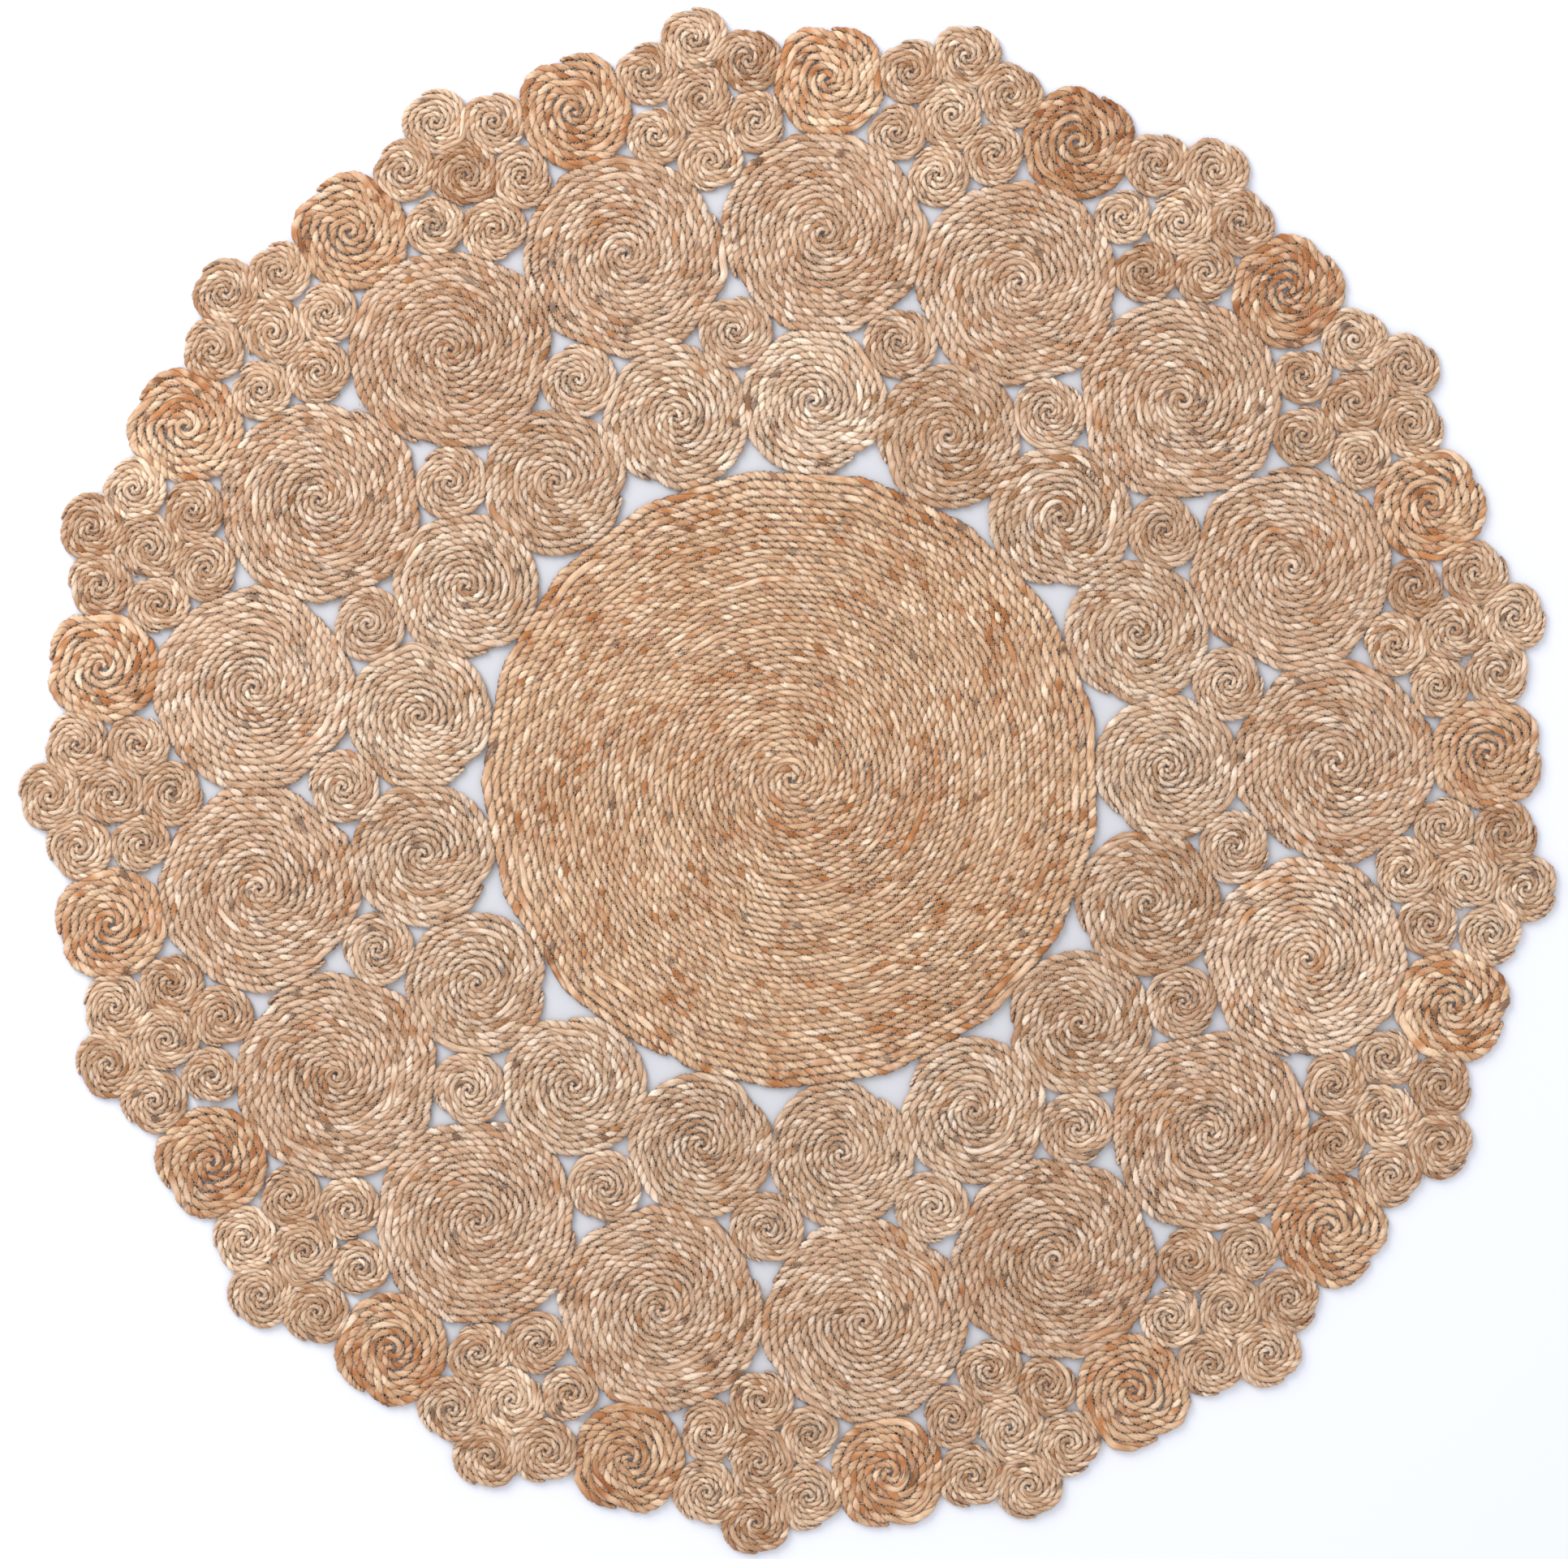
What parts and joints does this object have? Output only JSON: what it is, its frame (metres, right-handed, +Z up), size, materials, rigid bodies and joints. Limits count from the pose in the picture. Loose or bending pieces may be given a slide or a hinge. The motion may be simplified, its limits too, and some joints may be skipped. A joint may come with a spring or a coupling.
{
  "type": "area rug",
  "caption": "Round flat area rug sewn from spiral coils of twisted jute rope: a large medallion, rings of smaller coils round it, and a scalloped edge of tiny-coil rosettes",
  "frame": {"origin": "On the floor plane, in the middle of the rug's rectangular box; the medallion's centre is a few millimetres away because the rings are laid by hand", "axes": "+Z up, out of the rug's face; +X and +Y lie in the rug's plane, towards two sides of the round, with the first large coil near +X"},
  "size_m": [1.501, 1.5084, 0.008],
  "materials": {
    "medallion_jute": "matte twisted jute, warm golden tan",
    "mid_coil_jute": "matte twisted jute, sandy tan",
    "large_coil_jute": "matte twisted jute, sandy tan",
    "rosette_jute": "matte twisted jute, greyish beige",
    "filler_jute": "matte twisted jute, greyish beige",
    "rim_jute": "matte twisted jute, orange brown",
    "seam_thread": "matte spun thread, pale beige"
  },
  "bodies": {
    "root": {"medallion": "medallion_jute", "mid_coil_01": "mid_coil_jute", "mid_coil_02": "mid_coil_jute", "mid_coil_03": "mid_coil_jute", "mid_coil_04": "mid_coil_jute", "mid_coil_05": "mid_coil_jute", "mid_coil_06": "mid_coil_jute", "mid_coil_07": "mid_coil_jute", "mid_coil_08": "mid_coil_jute", "mid_coil_09": "mid_coil_jute", "mid_coil_10": "mid_coil_jute", "mid_coil_11": "mid_coil_jute", "mid_coil_12": "mid_coil_jute", "mid_coil_13": "mid_coil_jute", "mid_coil_14": "mid_coil_jute", "mid_coil_15": "mid_coil_jute", "mid_coil_16": "mid_coil_jute", "mid_coil_17": "mid_coil_jute", "large_coil_01": "large_coil_jute", "large_coil_02": "large_coil_jute", "large_coil_03": "large_coil_jute", "large_coil_04": "large_coil_jute", "large_coil_05": "large_coil_jute", "large_coil_06": "large_coil_jute", "large_coil_07": "large_coil_jute", "large_coil_08": "large_coil_jute", "large_coil_09": "large_coil_jute", "large_coil_10": "large_coil_jute", "large_coil_11": "large_coil_jute", "large_coil_12": "large_coil_jute", "large_coil_13": "large_coil_jute", "large_coil_14": "large_coil_jute", "large_coil_15": "large_coil_jute", "large_coil_16": "large_coil_jute", "large_coil_17": "large_coil_jute", "rosette_01": "rosette_jute", "rosette_02": "rosette_jute", "rosette_03": "rosette_jute", "rosette_04": "rosette_jute", "rosette_05": "rosette_jute", "rosette_06": "rosette_jute", "rosette_07": "rosette_jute", "rosette_08": "rosette_jute", "rosette_09": "rosette_jute", "rosette_10": "rosette_jute", "rosette_11": "rosette_jute", "rosette_12": "rosette_jute", "rosette_13": "rosette_jute", "rosette_14": "rosette_jute", "rosette_15": "rosette_jute", "rosette_16": "rosette_jute", "rosette_17": "rosette_jute", "filler_coils": "filler_jute", "rim_coils": "rim_jute", "inner_seams": "seam_thread", "filler_seams": "seam_thread", "rim_seams": "seam_thread", "rosette_seams": "seam_thread"}
  },
  "joints": []
}
